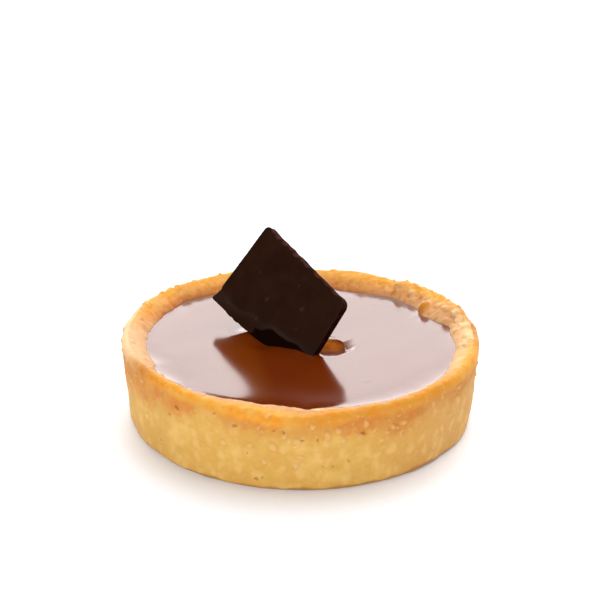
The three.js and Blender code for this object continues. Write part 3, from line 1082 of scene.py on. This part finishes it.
def slope_colour(n, fine, broad, deeper):
    """Pale at the sides, browner at the back and towards the filling, amber at the crest."""
    share = n.mask("share")
    side = n.mix(n.mask("paleside"), srgb(228, 163, 105), srgb(250, 202, 138))
    # painted light on the left side of the slope
    side = n.mix(n.mask("pale"), side, srgb(233, 182, 129))
    # painted highlight on the tops of crumbs
    side = n.tint(side, "crumb", 0.8, srgb(252, 216, 164))
    # browner at the back, partly its own colour and partly painted shade
    back = n.mix(n.ramp(broad, 0.35, 0.65), srgb(236, 148, 46), srgb(250, 178, 86))
    # painted highlight on the tops of crumbs
    back = n.tint(back, "crumb", 0.7, srgb(246, 180, 100))
    slope = n.mix(n.mask("backward"), side, back)
    # painted shade under the back rim, darkest in a line along the filling
    painted_back_shade = n.mask("painted_back_shade")
    inner = n.mix(painted_back_shade, srgb(226, 164, 108), srgb(186, 94, 20))
    slope = n.tint(slope, n.ramp(share, 0.4, 0.95), 0.66, inner)
    border = n.times(painted_back_shade, n.ramp(share, 0.84, 0.98))
    slope = n.tint(slope, border, 0.5, srgb(168, 82, 26))

    # painted warm light in the creases between crumbs
    slope = n.tint(slope, "crease_painted_glow", 0.5, srgb(238, 164, 82))
    # painted shade at the shaded places
    slope = n.tint(slope, "shade", 0.75, srgb(206, 122, 30))
    # painted shade under the large crumb and painted highlight on its top
    slope = n.mix(n.mask("crumb_painted_shade"), slope, srgb(222, 140, 26))
    slope = n.mix(n.mask("crumb_painted_highlight"), slope, srgb(255, 206, 138))
    slope = n.tint(slope, n.ramp(fine, 0.45, 0.7), 0.2, srgb(255, 208, 146))

    crest = n.fade(n.math("ADD", share, n.centred(broad, 1.2)), 0.05, 0.65)
    amber = n.mix(n.ramp(fine, 0.4, 0.7), srgb(245, 165, 34), srgb(248, 182, 70))
    amber = n.mix(deeper, amber, srgb(226, 142, 10))
    slope = n.mix(n.times(crest, n.mask("amber")), slope, amber)
    # painted highlight on the crumbs at the front of the crest
    return n.tint(slope, "speck_painted_highlight", 0.75, srgb(255, 226, 172))


def crust_material():
    n = Nodes(bpy.data.materials.new("baked_shortcrust"))
    fine = n.noise(900, 3)
    broad = n.noise(150, 3)
    patches = n.noise(330, 2)
    deeper = n.times(n.mask("deeper"), 0.6)
    colour = n.mix(n.mask("slope"), wall_colour(n, fine, broad, patches, deeper),
                   slope_colour(n, fine, broad, deeper))
    colour = n.tint(colour, n.ramp(n.mask("pit"), 0.0, 0.7), 0.58, srgb(156, 78, 18))
    n.set(Base_Color=colour, Roughness=0.7, Subsurface_Weight=0.1, Subsurface_Scale=0.0012)
    n.bump(n.noise(1600, 3), 0.35, 0.00025)
    return n.owner


def filling_material():
    n = Nodes(bpy.data.materials.new("set_caramel"))
    caramel = n.mix(n.ramp(n.noise(60, 2), 0.3, 0.7), (0.14, 0.019, 0.0005, 1),
                    (0.15, 0.022, 0.0005, 1))
    # painted light round a line across the caramel
    caramel = n.tint(caramel, "painted_warm_light", 0.42, (0.215, 0.05, 0.002, 1))
    # painted reflection in a paler band along the edge
    caramel = n.tint(caramel, "skin", 0.65, (0.33, 0.23, 0.2, 1))
    n.set(Base_Color=caramel, Roughness=0.13, IOR=1.5)
    return n.owner


def torn_material():
    """The dull, lighter caramel inside the pull mark, painted darker as shade near its walls."""
    n = Nodes(bpy.data.materials.new("torn_caramel"))
    colour = n.mix(n.ramp(n.noise(520, 3), 0.35, 0.65), (0.29, 0.06, 0.0006, 1),
                   (0.42, 0.105, 0.001, 1))
    # painted shade near the pull mark's walls
    colour = n.mix(n.ramp(n.mask("deep"), 0.0, 0.28), (0.13, 0.042, 0.016, 1), colour)
    n.set(Base_Color=colour, Roughness=0.45, IOR=1.4, Specular_IOR_Level=0.015)
    n.bump(n.noise(900, 2), 0.3, 0.0003)
    return n.owner


def slab_material():
    n = Nodes(bpy.data.materials.new("dark_chocolate"))
    face = n.mix(n.ramp(n.noise(220, 3), 0.3, 0.7), (0.019, 0.0053, 0.0014, 1),
                 (0.026, 0.0078, 0.0024, 1))
    # lighter at the scuffs and as painted highlight along the ridge
    colour = n.tint(face, "scuff_and_painted_glint", 0.6, (0.07, 0.035, 0.024, 1))
    rough = n.add("ShaderNodeMapRange", {
        "Value": n.noise(500, 3), "To Min": 0.3, "To Max": 0.4}).outputs["Result"]
    n.set(Base_Color=colour, Roughness=rough, IOR=1.42, Specular_IOR_Level=0.15)
    n.bump(n.noise(1100, 3), 0.12, 0.0002)
    return n.owner


def broken_material():
    """The slab's dull edges, with lighter chips, and the cut along its lower edge, painted near
    black as shade.
    """
    n = Nodes(bpy.data.materials.new("broken_chocolate"))
    edge = n.mix(n.ramp(n.noise(700, 3), 0.4, 0.65), (0.016, 0.0034, 0.0016, 1),
                 (0.036, 0.0105, 0.0075, 1))
    colour = n.tint(edge, "chip", 0.8, (0.08, 0.028, 0.024, 1))
    # painted shade, near black, over the cut below the ridge
    colour = n.mix(n.mask("painted_cut_shade"), colour, (0.007, 0.0016, 0.0006, 1))
    n.set(Base_Color=colour, Roughness=0.85, IOR=1.35, Specular_IOR_Level=0.05)
    n.bump(n.noise(1300, 3), 0.25, 0.0003)
    return n.owner


# -------- stage, light and camera

def make_floor():
    bpy.ops.mesh.primitive_plane_add(size=FLOOR_SIZE)
    floor = bpy.context.object
    floor.name = "floor"
    n = Nodes(bpy.data.materials.new("white_floor"))
    n.set(Base_Color=(0.92, 0.93, 0.95, 1), Roughness=0.6,
          Emission_Color=(0.8, 0.88, 1, 1), Emission_Strength=FLOOR_GLOW)
    floor.data.materials.append(n.owner)


def make_lights():
    for name, (place, aim, size, radiance) in SOFTBOXES.items():
        data = bpy.data.lights.new(name, "AREA")
        data.shape = "RECTANGLE"
        data.size, data.size_y = size
        data.energy = radiance * size[0] * size[1] * pi
        light = linked(name, data)
        light.location = place
        light.rotation_euler = (Vector(aim) - Vector(place)).to_track_quat("-Z", "Y").to_euler()


def make_world():
    """White walls that are bright between two elevations, and a brighter backdrop."""
    n = Nodes(bpy.data.worlds.new("studio"))
    direction = n.add("ShaderNodeTexCoord").outputs["Generated"]
    split = n.add("ShaderNodeSeparateXYZ", {"Vector": direction}).outputs

    def stepped(edges, total):
        for elevation, fade, change in edges:
            low = sin(radians(elevation - fade))
            high = sin(radians(elevation + fade))
            total = n.math("ADD", total, n.ramp(split["Z"], low, high, change))
        return total

    behind = n.ramp(split["Y"], *BACKDROP_SIDES)
    backdrop = n.times(behind, stepped(BACKDROP_EDGES, 0.0))
    n.set(Color=ROOM_COLOUR,
          Strength=n.math("ADD", stepped(WALL_EDGES, ROOM_RADIANCE), backdrop))
    scene.world = n.owner


def make_camera():
    elevation = radians(CAMERA_ELEVATION)
    place = Vector((0, -cos(elevation), sin(elevation))) * CAMERA_DISTANCE * MM
    data = bpy.data.cameras.new("camera")
    data.sensor_width = SENSOR_WIDTH
    data.lens = FOCAL_IN_PIXELS / PHOTO_WIDTH * SENSOR_WIDTH
    data.clip_start = 0.01
    scene.camera = linked("camera", data)
    scene.camera.matrix_world = placing(place, CAMERA_TURNS)


make_camera()
make_lights()
make_world()
make_floor()
make_crust()
make_filling()
make_slab()
scene.view_settings.view_transform = "Standard"
